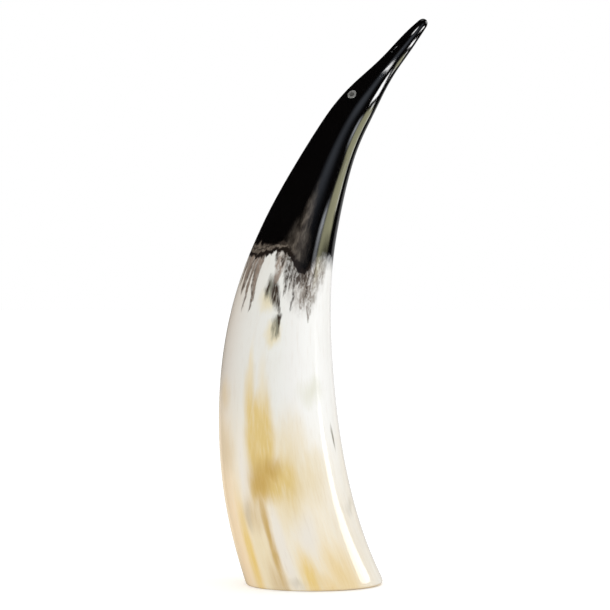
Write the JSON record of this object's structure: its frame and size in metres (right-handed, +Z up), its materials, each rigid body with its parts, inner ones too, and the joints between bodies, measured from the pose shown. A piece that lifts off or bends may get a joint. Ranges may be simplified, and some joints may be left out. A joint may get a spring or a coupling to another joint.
{
  "type": "carved horn ornament",
  "caption": "Curved hollow cattle horn, polished, standing on its level-cut foot, with its solid dark tip carved as a long-beaked bird's head with inlaid eyes.",
  "frame": {"origin": "on the surface the horn stands on, at the centre of the object's box in plan", "axes": "+Z up from the cut foot, +X the way the beak points, +Y the bird's left side; the horn bends in the XZ plane"},
  "size_m": [0.1292, 0.0724, 0.3495],
  "materials": {
    "polished_horn": "high polish; cream and amber below, smoky brown-black from the upper third to the point",
    "eye_ring": "satin, slightly dulled",
    "eye_pin": "satin, domed"
  },
  "bodies": {
    "root": {"horn_body": "polished_horn", "eye_ring_left": "eye_ring", "eye_ring_right": "eye_ring", "eye_pin_left": "eye_pin", "eye_pin_right": "eye_pin"}
  },
  "joints": []
}
